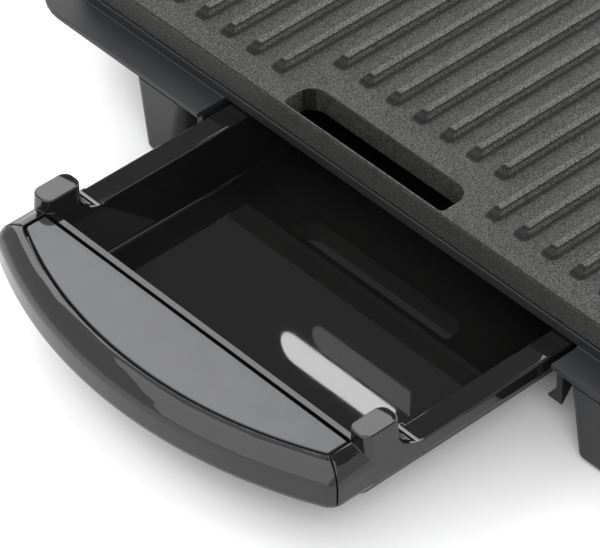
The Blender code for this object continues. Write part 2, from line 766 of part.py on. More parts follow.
def make_control_box():
    """Open-topped box behind the tub, with an inlet window and a wire pass."""
    front = TUB_REAR + GAP
    height = BOX_COVER_TOP - BOX_COVER_THICK - GAP
    outline = rounded_rect(-BOX_HALF, BOX_HALF, front, BOX_REAR, 7)
    body = prism('control_box', outline, BOX_BOTTOM, height)
    wall = BOX_WALL
    inside = rounded_rect(-BOX_HALF + wall, BOX_HALF - wall, front + wall, BOX_REAR - wall, 5)
    cut(body, prism('inside', inside, BOX_BOTTOM + wall, height + 1))
    ledge_back = PLATE_LENGTH + BAND_PROUD + GAP
    cut(body, box('step', -BOX_HALF - 1, BOX_HALF + 1, front - 1, ledge_back, LEDGE_UNDER - GAP, height + 1))
    cut(body, box('window', INLET_X - 14, INLET_X + 14, BOX_REAR - 3, BOX_REAR + 1, INLET_Z - 10, INLET_Z + 10))
    cut(body, box('pass', -34, 34, front - 1, front + 3, 12, 24))
    return body


def make_control_cover():
    """Lid of the control box, with holes for the shaft and the two lamps."""
    front = PLATE_LENGTH + BAND_PROUD + GAP + 0.2
    top = BOX_COVER_TOP
    low = top - BOX_COVER_THICK
    outer = rounded_rect(-BOX_HALF, BOX_HALF, front, BOX_REAR, 7)
    inner = rounded_rect(-BOX_HALF + 0.9, BOX_HALF - 0.9, front + 0.9, BOX_REAR - 0.9, 6.1)
    lid = loft('control_cover', [at(outer, low), at(outer, top - 0.9), at(inner, top)])
    cut(lid, prism('shaft_hole', circle(0, KNOB_Y, 4.0, 12), low - 1, top + 1))
    for x in LAMP_X:
        cut(lid, prism('lamp_hole', circle(x, KNOB_Y, 3.2, 12), low - 1, top + 1))
    return lid


def make_knob():
    """The dial with a finger bar, drawn round its own axis."""
    low = BOX_COVER_TOP + 0.6
    radius = KNOB_RADIUS
    profile = [(radius, low), (radius, low + 3.2), (radius - 1.2, low + 4.2)]
    dial = turned('control_knob', profile, 32)
    bar = loft('bar', [at(rounded_rect(-4.6, 4.6, -15, 15, 3), low + 3),
                       at(rounded_rect(-3.6, 3.6, -14, 14, 3), KNOB_TOP - 0.8),
                       at(rounded_rect(-2.8, 2.8, -13.2, 13.2, 2.4), KNOB_TOP)])
    join(dial, bar)
    cut(dial, prism('bore', circle(0, 0, 3.3, 12), low - 1, KNOB_TOP - 2.5))
    cut(dial, box('mark', -0.8, 0.8, 7, 12.4, KNOB_TOP - 0.9, KNOB_TOP + 1))
    return dial


def make_shaft():
    """The thermostat's D shaft, from its body up into the knob."""
    return turned('knob_shaft', [(3.0, 26.6), (3.0, KNOB_TOP - 3.0)], 12)


def make_pointer():
    return box('knob_pointer', -0.5, 0.5, 7.3, 12.1, KNOB_TOP - 0.6, KNOB_TOP + 0.1)


def make_thermostat():
    """Thermostat body with its mounting bush and spade terminals in one outline."""
    body = box('thermostat', -12, 12, KNOB_Y - 12, KNOB_Y + 12, 12, 24)
    join(body, prism('bush', circle(0, KNOB_Y, 6, 12), 23.5, 30.1))
    cut(body, prism('bore', circle(0, KNOB_Y, 3.3, 12), 26.0, 31))
    return body


def make_lamp(name):
    """A snap-in indicator lamp: lens above the cover, body and neon lamp below."""
    top = BOX_COVER_TOP
    return turned(name, [(2.0, 18), (2.9, 19), (2.9, top + 0.2), (2.1, top + 1.2), (0.9, top + 1.6)], 12)


def make_inlet():
    """Appliance inlet: flange outside the box, socket body inside it."""
    x0 = INLET_X - 13.7
    x1 = INLET_X + 13.7
    z0 = INLET_Z - 9.7
    z1 = INLET_Z + 9.7
    body = box('inlet_socket', x0, x1, BOX_REAR - 21, BOX_REAR + 1, z0, z1)
    join(body, box('flange', x0 - 2.4, x1 + 2.4, BOX_REAR + GAP, CONTROL_REAR, z0 - 2, z1 + 2))
    chamfered = [(INLET_X - 11.5, z0 + 2), (INLET_X + 11.5, z0 + 2), (INLET_X + 11.5, z1 - 6)]
    chamfered += [(INLET_X + 7.5, z1 - 2), (INLET_X - 7.5, z1 - 2), (INLET_X - 11.5, z1 - 6)]
    cut(body, prism_y('socket', chamfered, BOX_REAR - 15, BOX_REAR + 4))
    for x, z in INLET_PINS:
        cut(body, box('pin_hole', x - 1.4, x + 1.4, BOX_REAR - 22, BOX_REAR - 14, z - 2.3, z + 2.3))
    return body


def make_inlet_pin(name):
    """A flat blade, drawn with its tip at the origin and its tail to the front."""
    return box(name, -1.0, 1.0, -16, 0, -2.0, 2.0)


def make_terminal_block():
    block = box('terminal_block', 28, 58, 402, 414, 8, 18)
    for i in range(3):
        cut(block, box('well', 31 + i * 9, 37 + i * 9, 405, 411, 12, 19))
    return block


def wire(name, corners, radius=1.0):
    return tube(name, rounded_route(corners, 2, 3), radius, 1)


# ---------------------------------------------------------------- assembly

def add_plate_group(root, finish):
    seat(tidy(make_plate(), finish['nonstick']), root)
    for i, (x, y) in enumerate(plate_screw_places(), 1):
        screw = tidy(make_screw(f'plate_screw_{i}', 3.6, 2.2, 1.7, 8), finish['zinc_steel'])
        seat(screw, root, (x, y, LEDGE_UNDER - 2.5))
    for i, (x, y) in enumerate(reflector_screw_places(), 1):
        screw = tidy(make_screw(f'reflector_screw_{i}', 3.0, 1.6, 1.2, 6), finish['zinc_steel'])
        seat(screw, root, (x, y, REFLECTOR_BOTTOM - GAP - 1.6))


def add_base_group(root, finish):
    seat(tidy(make_housing(), finish['base_plastic']), root)
    seat(tidy(make_cover(), finish['base_plastic']), root)
    middle = (LEG_X0 + LEG_X1) / 2
    for name, (side, y) in leg_places().items():
        turn = 0 if y < PLATE_LENGTH / 2 else 180
        place = (side * middle, y, 0)
        seat(tidy(make_leg(f'leg_{name}'), finish['base_plastic']), root, place, (0, 0, turn))
        seat(tidy(make_foot(f'foot_{name}'), finish['rubber']), root, place)
        screw = tidy(make_screw(f'leg_screw_{name}', 3.2, 2.2, 1.3, 12), finish['zinc_steel'])
        seat(screw, root, (place[0], place[1], 11.5))
    for i, (x, y) in enumerate(cover_screw_places(), 1):
        screw = tidy(make_screw(f'cover_screw_{i}', 3.0, 1.6, 1.1, 11), finish['zinc_steel'])
        seat(screw, root, (x, y, COVER_BOTTOM - 1.9))
    seat(tidy(make_rail('guide_rail_left', -1), finish['black_nylon']), root)
    seat(tidy(make_rail('guide_rail_right', 1), finish['black_nylon']), root)


def add_tray_group(root, finish):
    """The tray slides along Y; its parent sits on that line."""
    slide = empty('tray_slide_axis', (0, 0, 0), root)
    seat(tidy(make_tray(), finish['tray_plastic']), slide)
    seat(tidy(make_handle_front(), finish['tray_plastic']), slide)
    seat(tidy(make_inlay(), finish['inlay']), slide)


def add_heating_group(root, finish):
    seat(tidy(make_element(), finish['element_steel']), root)
    seat(tidy(make_element_pin('element_pin_left'), finish['zinc_steel']), root,
         (-22, 372 + GAP, ELEMENT_Z), (-90, 0, 0))
    seat(tidy(make_element_pin('element_pin_right'), finish['zinc_steel']), root,
         (22, 372 + GAP, ELEMENT_Z), (-90, 0, 0))
    for i, (x, y) in enumerate(clamp_places(), 1):
        side = math.copysign(1, x)
        seat(tidy(make_clamp(f'element_clamp_{i}', side), finish['zinc_steel']), root, (x, y, 0))
    seat(tidy(make_reflector(), finish['aluminised']), root)
    seat(tidy(make_bulb(), finish['copper']), root, (0, 306.5, 35.1), (-90, 0, 0))
    seat(tidy(make_capillary(), finish['copper']), root)
    seat(tidy(make_sensor_clip(), finish['zinc_steel']), root)
    seat(tidy(make_fuse(), finish['zinc_steel']), root, (-12.6, 308, 35.3), (-90, 0, 0))


def add_control_group(root, finish):
    seat(tidy(make_control_box(), finish['base_plastic']), root)
    seat(tidy(make_control_cover(), finish['base_plastic']), root)
    seat(tidy(make_thermostat(), finish['ceramic']), root)
    axis = empty('knob_axis', (0, KNOB_Y, 0), root)
    seat(tidy(make_knob(), finish['black_nylon']), axis)
    seat(tidy(make_shaft(), finish['zinc_steel']), axis)
    seat(tidy(make_pointer(), finish['white_print']), axis)
    for x, name, lens in zip(LAMP_X, ('power_lamp', 'ready_lamp'), ('red_lens', 'green_lens')):
        seat(tidy(make_lamp(name), finish[lens]), root, (x, KNOB_Y, 0))
    seat(tidy(make_inlet(), finish['black_nylon']), root)
    for (x, z), name in zip(INLET_PINS, ('line', 'earth', 'neutral')):
        pin = tidy(make_inlet_pin(f'inlet_pin_{name}'), finish['brass'])
        seat(pin, root, (x, BOX_REAR - 5, z))
    seat(tidy(make_terminal_block(), finish['ceramic']), root)


def wire_routes():
    """Finish and corner points of each internal lead."""
    tail = BOX_REAR - 21.4
    low = 9.5
    line = [(-53, tail, 14.5), (-53, 421, 14.5), (-53, 421, low), (-18, 421, low)]
    line += [(-18, 421, 16), (-12.4, 421, 16)]
    neutral = [(-39, tail, 14.5), (-39, 400, 14.5), (27.6, 400, 14.5)]
    earth = [(-46, tail, 19), (-46, 408, 19), (-30, 408, 19), (-30, 388, 19)]
    left = [(-22, 385.8, ELEMENT_Z), (-22, 389.2, ELEMENT_Z), (-22, 389.2, 20), (-22, 421, 20)]
    left += [(-12.4, 421, 20)]
    right = [(22, 385.8, ELEMENT_Z), (22, 389.2, ELEMENT_Z), (22, 389.2, 22), (22, 408, 22)]
    right += [(43, 408, 22), (43, 408, 14)]
    return {
        'wire_line': ('wire_brown', line),
        'wire_neutral': ('wire_blue', neutral),
        'wire_earth': ('wire_earth', earth),
        'lead_left': ('wire_brown', left),
        'lead_right': ('wire_blue', right),
    }


def add_wires(root, finish):
    for name, (kind, corners) in wire_routes().items():
        seat(tidy(wire(name, corners), finish[kind]), root)


def clear_scene():
    for obj in list(bpy.data.objects):
        bpy.data.objects.remove(obj)


def main():
    clear_scene()
    finish = materials()
    root = empty('griddle_origin', (0, Y_SHIFT, 0))
    add_plate_group(root, finish)
    add_base_group(root, finish)
    add_tray_group(root, finish)
    add_heating_group(root, finish)
    add_control_group(root, finish)
    add_wires(root, finish)


main()
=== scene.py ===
"""Looks of the electric griddle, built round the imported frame.

Shapes are drawn in millimetres in the appliance's design frame: X across, Y from the drip
tray at the front to the control box at the rear with the cooking plate's front face at
y = 0, and Z up from the table. place() turns such a point into the row frame in metres.
"""
import json
import math

import bmesh
import bpy
from mathutils import Matrix, Vector
from mathutils.geometry import delaunay_2d_cdt


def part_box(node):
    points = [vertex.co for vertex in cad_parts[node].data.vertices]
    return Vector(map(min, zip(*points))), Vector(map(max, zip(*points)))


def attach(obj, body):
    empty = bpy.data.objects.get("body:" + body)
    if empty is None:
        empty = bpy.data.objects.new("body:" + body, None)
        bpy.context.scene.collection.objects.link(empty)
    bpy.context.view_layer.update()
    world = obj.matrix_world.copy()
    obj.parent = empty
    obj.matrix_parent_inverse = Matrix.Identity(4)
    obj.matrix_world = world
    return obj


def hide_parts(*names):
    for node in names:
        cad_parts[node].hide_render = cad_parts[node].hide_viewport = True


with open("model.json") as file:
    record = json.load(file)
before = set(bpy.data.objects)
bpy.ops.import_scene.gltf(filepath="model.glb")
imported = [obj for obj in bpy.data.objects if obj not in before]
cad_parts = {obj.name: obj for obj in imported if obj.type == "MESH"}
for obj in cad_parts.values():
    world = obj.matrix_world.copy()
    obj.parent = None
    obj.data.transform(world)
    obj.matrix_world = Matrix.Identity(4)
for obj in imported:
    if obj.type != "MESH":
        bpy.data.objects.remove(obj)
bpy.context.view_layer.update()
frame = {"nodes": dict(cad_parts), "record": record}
NODES = frame["nodes"]

MM = 0.001
PLATE_LOW, PLATE_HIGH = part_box("grill_plate")
FRONT_Y = PLATE_LOW.y

# Camera, at the photograph's viewing angle
CAMERA_AZIMUTH = math.radians(47.4)
CAMERA_ELEVATION = math.radians(41.7)
CAMERA_AIM = (-13.2, -28.3, 15.3)
CAMERA_DISTANCE = 1489.6
CAMERA_LENS = 291.36
CAMERA_SENSOR = 36.0


def place(point):
    """A design point in millimetres as a point of the row frame in metres."""
    x, y, z = point
    return Vector((x * MM, y * MM + FRONT_Y, z * MM))


# ---------------------------------------------------------------- camera

def make_camera():
    """The photograph's long lens, looking down at the tray's right front corner."""
    sin_a, cos_a = math.sin(CAMERA_AZIMUTH), math.cos(CAMERA_AZIMUTH)
    sin_e, cos_e = math.sin(CAMERA_ELEVATION), math.cos(CAMERA_ELEVATION)
    back = Vector((sin_a * cos_e, -cos_a * cos_e, sin_e))
    right = Vector((cos_a, sin_a, 0.0))
    up = back.cross(right)
    spot = place(CAMERA_AIM) + back * CAMERA_DISTANCE * MM
    data = bpy.data.cameras.new("camera")
    data.sensor_width = CAMERA_SENSOR
    data.lens = CAMERA_LENS
    data.clip_end = 20.0
    camera = bpy.data.objects.new("camera", data)
    bpy.context.scene.collection.objects.link(camera)
    camera.matrix_world = Matrix.Translation(spot) @ Matrix((right, up, back)).transposed().to_4x4()
    bpy.context.scene.camera = camera


# ---------------------------------------------------------------- outlines, in millimetres

def arc(cx, cy, radius, start, end, steps):
    """Points on a circle from one angle to another, in degrees."""
    points = []
    for i in range(steps + 1):
        angle = math.radians(start + (end - start) * i / steps)
        points.append((cx + radius * math.cos(angle), cy + radius * math.sin(angle)))
    return points


def rounded_rect(x0, x1, y0, y1, radius, steps=8):
    """A rectangle with round corners, counter-clockwise."""
    points = arc(x1 - radius, y0 + radius, radius, -90, 0, steps)
    points += arc(x1 - radius, y1 - radius, radius, 0, 90, steps)
    points += arc(x0 + radius, y1 - radius, radius, 90, 180, steps)
    points += arc(x0 + radius, y0 + radius, radius, 180, 270, steps)
    return points


def rectangle(x0, x1, y0, y1):
    """Four corners, counter-clockwise."""
    return [(x0, y0), (x1, y0), (x1, y1), (x0, y1)]


def circle(cx, cy, radius, count):
    """A full circle of evenly spaced points."""
    return arc(cx, cy, radius, 0, 360 * (count - 1) / count, count - 1)


def bowed(half, back, centre_y, radius, corner, steps=48):
    """A straight back, short sides and a front arc about (0, centre_y), with eased corners."""
    side = centre_y - math.sqrt(radius ** 2 - half ** 2)
    angle = math.degrees(math.asin((half - corner) / radius))
    bow = arc(0, centre_y, radius, 270 - angle, 270 + angle, steps)
    shoulder = Vector((-half, side + corner))
    elbow = Vector((-half, side))
    left = []
    for i in range(8):
        t = i / 8
        point = shoulder * (1 - t) ** 2 + elbow * 2 * t * (1 - t) + Vector(bow[0]) * t ** 2
        left.append((point.x, point.y))
    right = [(-x, y) for x, y in reversed(left)]
    return [(half, back), (-half, back)] + left + bow + right


def at(outline, z):
    """Lift a plan outline to a height."""
    return [(x, y, z) for x, y in outline]


def quarter(radius, steps=6):
    """Pairs (inset, drop) from a flat top over a quarter-round edge to the side."""
    pairs = []
    for i in range(steps + 1):
        angle = math.radians(90 * i / steps)
        pairs.append((radius * (1 - math.sin(angle)), radius * (1 - math.cos(angle))))
    return pairs


def inside(point, outline):
    x, y = point
    xs = [p[0] for p in outline]
    ys = [p[1] for p in outline]
    if not (min(xs) < x < max(xs) and min(ys) < y < max(ys)):
        return False
    within = False
    for (x0, y0), (x1, y1) in zip(outline, outline[1:] + outline[:1]):
        if (y0 > y) != (y1 > y) and x < x0 + (x1 - x0) * (y - y0) / (y1 - y0):
            within = not within
    return within


# ---------------------------------------------------------------- meshes

SHARP_ANGLE = 32.0
SOFTENED_ANGLE = 50.0
WELD = 0.002
SOLID_WELD = 0.02
COPLANAR_ANGLE = 1.0


def bridge(solid, low, high):
    """Faces between two loops of the same length."""
    for i in range(len(low)):
        j = (i + 1) % len(low)
        solid.faces.new((low[i], low[j], high[j], high[i]))


def add_skin(solid, rings):
    """Loops joined in order into an open skin."""
    loops = [[solid.verts.new(p) for p in ring] for ring in rings]
    for low, high in zip(loops, loops[1:]):
        bridge(solid, low, high)
    return loops


def add_loft(solid, rings):
    """Loops joined in order and capped at both ends."""
    loops = add_skin(solid, rings)
    solid.faces.new(list(reversed(loops[0])))
    solid.faces.new(loops[-1])


def add_flat(solid, z, outline, holes=()):
    """Triangles over the flat area between an outline and its holes."""
    points, edges = [], []
    for loop in [outline, *holes]:
        first = len(points)
        points += [Vector(p) for p in loop]
        edges += [(first + i, first + (i + 1) % len(loop)) for i in range(len(loop))]
    found, _, faces = delaunay_2d_cdt(points, edges, [], 0, 1e-5)[:3]
    made = [solid.verts.new((p.x, p.y, z)) for p in found]
    for face in faces:
        centre = sum((found[i] for i in face), Vector((0, 0))) / len(face)
        if inside(centre, outline) and not any(inside(centre, hole) for hole in holes):
            solid.faces.new([made[i] for i in face])


def to_object(solid, name, angle=SHARP_ANGLE):
    """Weld a mesh drawn in millimetres, move it into the row frame and shade it."""
    bmesh.ops.remove_doubles(solid, verts=solid.verts, dist=WELD)
    loose = [v for v in solid.verts if not v.link_faces]
    bmesh.ops.delete(solid, geom=loose, context='VERTS')
    bmesh.ops.recalc_face_normals(solid, faces=solid.faces)
    for vert in solid.verts:
        vert.co = place(vert.co)
    mesh = bpy.data.meshes.new(name)
    solid.to_mesh(mesh)
    solid.free()
    obj = bpy.data.objects.new(name, mesh)
    bpy.context.scene.collection.objects.link(obj)
    shade(obj, angle)
    return obj


def shade(obj, angle):
    """Smooth shading, broken at edges sharper than an angle in degrees."""
    obj.data.shade_smooth()
    obj.data.set_sharp_from_angle(angle=math.radians(angle))


def loft(name, rings):
    """A closed solid through the rings, as an object."""
    solid = bmesh.new()
    add_loft(solid, rings)
    return to_object(solid, name)


def prism(name, outline, z0, z1):
    """A plan outline raised from one height to another."""
    return loft(name, [at(outline, z0), at(outline, z1)])


def box(name, x0, x1, y0, y1, z0, z1):
    """A block between two corners."""
    return prism(name, rectangle(x0, x1, y0, y1), z0, z1)


def apply_modifiers(obj):
    """Bake an object's modifiers into its mesh."""
    bpy.context.view_layer.update()
    graph = bpy.context.evaluated_depsgraph_get()
    mesh = bpy.data.meshes.new_from_object(obj.evaluated_get(graph))
    obj.modifiers.clear()
    obj.data = mesh


def combine(target, tool, operation):
    """Join or cut two solids for good, and drop the tool."""
    modifier = target.modifiers.new(operation, 'BOOLEAN')
    modifier.operation = operation
    modifier.solver = 'EXACT'
    modifier.object = tool
    apply_modifiers(target)
    bpy.data.objects.remove(tool)


def soften(obj, width, segments, angle=SHARP_ANGLE):
    """Round off a solid's sharp edges by a width in millimetres."""
    solid = bmesh.new()
    solid.from_mesh(obj.data)
    bmesh.ops.remove_doubles(solid, verts=solid.verts, dist=SOLID_WELD * MM)
    bmesh.ops.dissolve_limit(solid, angle_limit=math.radians(COPLANAR_ANGLE), verts=solid.verts,
                             edges=solid.edges, delimit={'SHARP'})
    bmesh.ops.triangulate(solid, faces=[f for f in solid.faces if len(f.verts) > 4])
    solid.to_mesh(obj.data)
    solid.free()
    bevel = obj.modifiers.new("bevel", 'BEVEL')
    bevel.width = width * MM
    bevel.segments = segments
    bevel.limit_method = 'ANGLE'
    bevel.angle_limit = math.radians(angle)
    bevel.use_clamp_overlap = False
    bevel.miter_outer = 'MITER_ARC'
    apply_modifiers(obj)
    shade(obj, SOFTENED_ANGLE)


def weight_normals(obj):
    """Keep broad flat faces flat in shading beside their rounded edges."""
    modifier = obj.modifiers.new("normals", 'WEIGHTED_NORMAL')
    modifier.keep_sharp = True
    modifier.weight = 100
    apply_modifiers(obj)


def softened_copy(node, name, width, segments=2):
    """A CAD node's shape as a new piece with its edges rounded."""
    obj = bpy.data.objects.new(name, NODES[node].data.copy())
    bpy.context.scene.collection.objects.link(obj)
    soften(obj, width, segments)
    return obj


# ---------------------------------------------------------------- materials

MOULDED_SPECULAR = 0.35
COATING_SPECULAR = 0.18
GRAIN_DARK = (0.004, 0.004, 0.0038)
GRAIN_LIGHT = (0.080, 0.080, 0.077)


class Finish:
    """A procedural material, built one node at a time."""

    def __init__(self, name, roughness, metallic=0.0):
        self.material = bpy.data.materials.new(name)
        self.material.use_nodes = True
        self.tree = self.material.node_tree
        self.shader = self.tree.nodes['Principled BSDF']
        self.shader.inputs['Roughness'].default_value = roughness
        self.shader.inputs['Metallic'].default_value = metallic
        self.where = self.tree.nodes.new('ShaderNodeTexCoord').outputs['Object']
        self.height = None

    def link(self, source, target):
        self.tree.links.new(source, target)

    def noise(self, per_metre, detail=3.0, roughness=0.5):
        """Noise whose cells repeat about this often in a metre."""
        node = self.tree.nodes.new('ShaderNodeTexNoise')
        node.inputs['Scale'].default_value = per_metre
        node.inputs['Detail'].default_value = detail
        node.inputs['Roughness'].default_value = roughness
        self.link(self.where, node.inputs['Vector'])
        return node.outputs['Fac']

    def cells(self, per_metre):
        """Distance to the nearest of scattered grains."""
        node = self.tree.nodes.new('ShaderNodeTexVoronoi')
        node.inputs['Scale'].default_value = per_metre
        self.link(self.where, node.inputs['Vector'])
        return node.outputs['Distance']

    def ramp(self, source, low, high, start=0.3, end=0.7):
        """Colours or greys spread between two values of a source."""
        node = self.tree.nodes.new('ShaderNodeValToRGB')
        node.color_ramp.elements[0].position = start
        node.color_ramp.elements[1].position = end
        node.color_ramp.elements[0].color = (*low, 1.0)
        node.color_ramp.elements[1].color = (*high, 1.0)
        self.link(source, node.inputs['Fac'])
        return node.outputs['Color']

    def spread(self, source, low, high):
        """A number that follows a source from low to high."""
        node = self.tree.nodes.new('ShaderNodeMapRange')
        node.inputs['From Min'].default_value = 0.3
        node.inputs['From Max'].default_value = 0.7
        node.inputs['To Min'].default_value = low
        node.inputs['To Max'].default_value = high
        self.link(source, node.inputs['Value'])
        return node.outputs['Result']

    def colour(self, source, low, high, start=0.3, end=0.7):
        self.link(self.ramp(source, low, high, start, end), self.shader.inputs['Base Color'])

    def axis(self, output, name):
        """One component of the object-space position or surface normal."""
        coordinates = self.tree.nodes.new('ShaderNodeTexCoord')
        split = self.tree.nodes.new('ShaderNodeSeparateXYZ')
        self.link(coordinates.outputs[output], split.inputs['Vector'])
        return split.outputs[name]

    def steps(self, source, low, high, stops):
        """A grey that follows stops, given as (source value, grey), between low and high."""
        span = self.tree.nodes.new('ShaderNodeMapRange')
        span.inputs['From Min'].default_value = low
        span.inputs['From Max'].default_value = high
        self.link(source, span.inputs['Value'])
        node = self.tree.nodes.new('ShaderNodeValToRGB')
        elements = node.color_ramp.elements
        while len(elements) < len(stops):
            elements.new(0.5)
        for element, (value, grey) in zip(elements, stops):
            element.position = (value - low) / (high - low)
            element.color = (grey, grey, grey, 1.0)
        self.link(span.outputs['Result'], node.inputs['Fac'])
        return node.outputs['Color']

    def darken(self, grey):
        """Multiply the base colour by a grey."""
        node = self.tree.nodes.new('ShaderNodeVectorMath')
        node.operation = 'MULTIPLY'
        socket = self.shader.inputs['Base Color']
        self.link(socket.links[0].from_socket, node.inputs[0])
        self.link(grey, node.inputs[1])
        self.link(node.outputs['Vector'], socket)

    def rough(self, source, low, high):
        self.link(self.spread(source, low, high), self.shader.inputs['Roughness'])

    def bump(self, source, depth_mm):
        """Stack one more layer of surface relief."""
        node = self.tree.nodes.new('ShaderNodeBump')
        node.inputs['Distance'].default_value = depth_mm * MM
        node.inputs['Strength'].default_value = 1.0
        self.link(source, node.inputs['Height'])
        if self.height is not None:
            self.link(self.height, node.inputs['Normal'])
        self.height = node.outputs['Normal']
        self.link(self.height, self.shader.inputs['Normal'])


def shades(colour, spread):
    """A colour made a little darker and a little lighter."""
    low = tuple(c * (1 - spread) for c in colour)
    high = tuple(c * (1 + spread) for c in colour)
    return low, high


def nonstick():
    """Sandy non-stick coating with painted shading, which is there under any light.

    Two bands of height are painted dark as shade, at the ribs' feet and along the edges of their crests,
    and every slope that faces the front is painted darker as shade, by the surface's own normal.
    """
    made = Finish("nonstick", 0.5)
    made.shader.inputs['Specular IOR Level'].default_value = COATING_SPECULAR
    made.colour(made.noise(2800, 2.0, 0.6), GRAIN_DARK, GRAIN_LIGHT, 0.42, 0.62)
    # painted shade: dark bands by height at the ribs' feet (contact shadow) and at the near edges of their
    # crests
    foot = [(42.98, 1.0), (43.04, 0.25), (43.7, 0.25), (43.95, 1.0), (44.9, 1.0), (45.0, 0.25),
            (45.36, 0.25), (45.48, 1.2)]
    made.darken(made.steps(made.axis('Object', 'Z'), 42.5 * MM, 46.0 * MM,
                           [(z * MM, grey) for z, grey in foot]))
    # painted shade: slopes that face the front are darkened by their object-space normal, whatever the
    # light
    painted_front_shade = [(-0.9, 0.8), (-0.8, 0.3), (-0.3, 0.25), (-0.1, 1.0)]
    made.darken(made.steps(made.axis('Normal', 'Y'), -1.0, 1.0, painted_front_shade))
    made.rough(made.noise(60, 2.0), 0.46, 0.58)
    made.bump(made.noise(2200, 2.0, 0.6), 0.012)
    made.bump(made.noise(420, 2.0, 0.5), 0.010)
    return made.material


def moulded(name, colour, low, high, grain=0.006):
    """Satin moulded plastic with a fine spark-eroded grain."""
    made = Finish(name, (low + high) / 2)
    made.shader.inputs['Specular IOR Level'].default_value = MOULDED_SPECULAR
    made.colour(made.noise(35, 3.0), *shades(colour, 0.08))
    made.rough(made.noise(90, 4.0), low, high)
    made.bump(made.noise(2600, 2.0), grain)
    return made.material


def polished(name, colour, low, high, wave):
    """Glossy moulded plastic with a faint flow waviness and a few fine scuffs."""
    made = Finish(name, (low + high) / 2)
    made.colour(made.noise(28, 3.0), *shades(colour, 0.12))
    made.rough(made.noise(140, 5.0, 0.65), low, high)
    made.bump(made.noise(45, 1.0), wave)
    return made.material


def metal(name, colour, low, high, per_metre=300.0, depth=0.01):
    """Bare or plated metal with fine variation."""
    made = Finish(name, (low + high) / 2, metallic=1.0)
    made.colour(made.noise(per_metre, 4.0), *shades(colour, 0.10))
    made.rough(made.noise(per_metre * 2, 4.0), low, high)
    made.bump(made.noise(per_metre * 4, 3.0), depth)
    return made.material


def lens(name, colour):
    """Tinted indicator lens."""
    made = Finish(name, 0.08)
    made.colour(made.noise(400, 2.0), *shades(colour, 0.10))
    made.rough(made.noise(700, 2.0), 0.05, 0.12)
    made.bump(made.cells(1400), 0.03)
    made.shader.inputs['Coat Weight'].default_value = 0.5
    return made.material


def make_finishes():
    """One material for each of the record's material slots."""
    return {
        'nonstick': nonstick(),
        'base_plastic': moulded("base_plastic", (0.012, 0.0125, 0.0135), 0.36, 0.46),
        'tray_plastic': polished("tray_plastic", (0.005, 0.005, 0.0048), 0.012, 0.028, 0.004),
        'inlay': polished("inlay", (0.024, 0.025, 0.0275), 0.08, 0.14, 0.003),
        'black_nylon': moulded("black_nylon", (0.010, 0.010, 0.010), 0.38, 0.50),
        'rubber': moulded("rubber", (0.018, 0.018, 0.018), 0.70, 0.85, 0.02),
        'element_steel': metal("element_steel", (0.16, 0.15, 0.14), 0.40, 0.60),
        'zinc_steel': metal("zinc_steel", (0.60, 0.60, 0.58), 0.28, 0.42),
        'aluminised': metal("aluminised", (0.70, 0.70, 0.70), 0.22, 0.40, 120.0),
        'ceramic': moulded("ceramic", (0.70, 0.68, 0.62), 0.45, 0.62, 0.02),
        'brass': metal("brass", (0.72, 0.55, 0.26), 0.22, 0.35),
        'copper': metal("copper", (0.72, 0.38, 0.24), 0.25, 0.40),
        'red_lens': lens("red_lens", (0.55, 0.03, 0.02)),
        'green_lens': lens("green_lens", (0.03, 0.42, 0.10)),
        'white_print': moulded("white_print", (0.78, 0.78, 0.76), 0.40, 0.55),
        'wire_brown': moulded("wire_brown", (0.16, 0.07, 0.03), 0.40, 0.55),
        'wire_blue': moulded("wire_blue", (0.03, 0.09, 0.38), 0.40, 0.55),
        'wire_earth': moulded("wire_earth", (0.28, 0.42, 0.05), 0.40, 0.55),
    }


def dress_cad_nodes(finishes):
    """Give every CAD node its record slot's finish."""
    for part in frame["record"]["subparts"]:
        for slot in NODES[part["node"]].material_slots:
            slot.material = finishes[part["material_slot"]]


def settle(obj, body, slot, finishes, *nodes):
    """Finish a piece: its material, its body and the CAD nodes it stands for."""
    weight_normals(obj)
    obj.data.materials.clear()
    obj.data.materials.append(finishes[slot])
    for polygon in obj.data.polygons:
        polygon.material_index = 0
    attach(obj, body)
    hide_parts(*nodes)


# ---------------------------------------------------------------- cooking plate

PLATE_HALF = 152.0
PLATE_LENGTH = 406.0
PLATE_TOP = 43.0
PLATE_BOTTOM = 34.0
PLATE_CORNER = 6.0
PLATE_EASE = 0.8
PLATE_UNDER = 38.5
POCKET_RIM = 6.0
RIB_PITCH = 12.0
RIB_COUNT = 24
RIB_HEIGHT = 2.6
RIB_HALF = 2.7
RIB_RUN = 1.6
RIB_END_RUN = 3.2
RIB_FOOT_EASE = 0.5
RIB_CREST_EASE = 0.25
RIB_END_CORNER = 1.3
RIB_START = 10.2
SLOT_RIB_START = 25.4
SLOT_RIBS = 7
SLOT_X = -17.8
SLOT_HALF = 35.6
SLOT_Y0 = 1.4
SLOT_Y1 = 14.0
SLOT_FRONT_CORNER = 1.5
SLOT_REAR_CORNER = 6.0
SLOT_EASE = 0.4


def rib_height(depth):
    """Height of a rib's flank at a depth in from its base line, with eased foot and crest."""
    slope = RIB_HEIGHT / RIB_RUN
    if depth <= -RIB_FOOT_EASE:
        return 0.0
    if depth < RIB_FOOT_EASE:
        return slope * (depth + RIB_FOOT_EASE) ** 2 / (4 * RIB_FOOT_EASE)
    if depth < RIB_RUN - RIB_CREST_EASE:
        return slope * depth
    if depth < RIB_RUN + RIB_CREST_EASE:
        return RIB_HEIGHT - slope * (RIB_RUN + RIB_CREST_EASE - depth) ** 2 / (4 * RIB_CREST_EASE)
    return RIB_HEIGHT


def rib_depth(across, along):
    """Depth in from a rib's base outline, rounded where the end meets the side."""
    side = RIB_HALF - abs(across)
    end = along * RIB_RUN / RIB_END_RUN
    corner = RIB_END_CORNER
    if side < corner and end < corner:
        return corner - math.hypot(corner - side, corner - end)
    return min(side, end)


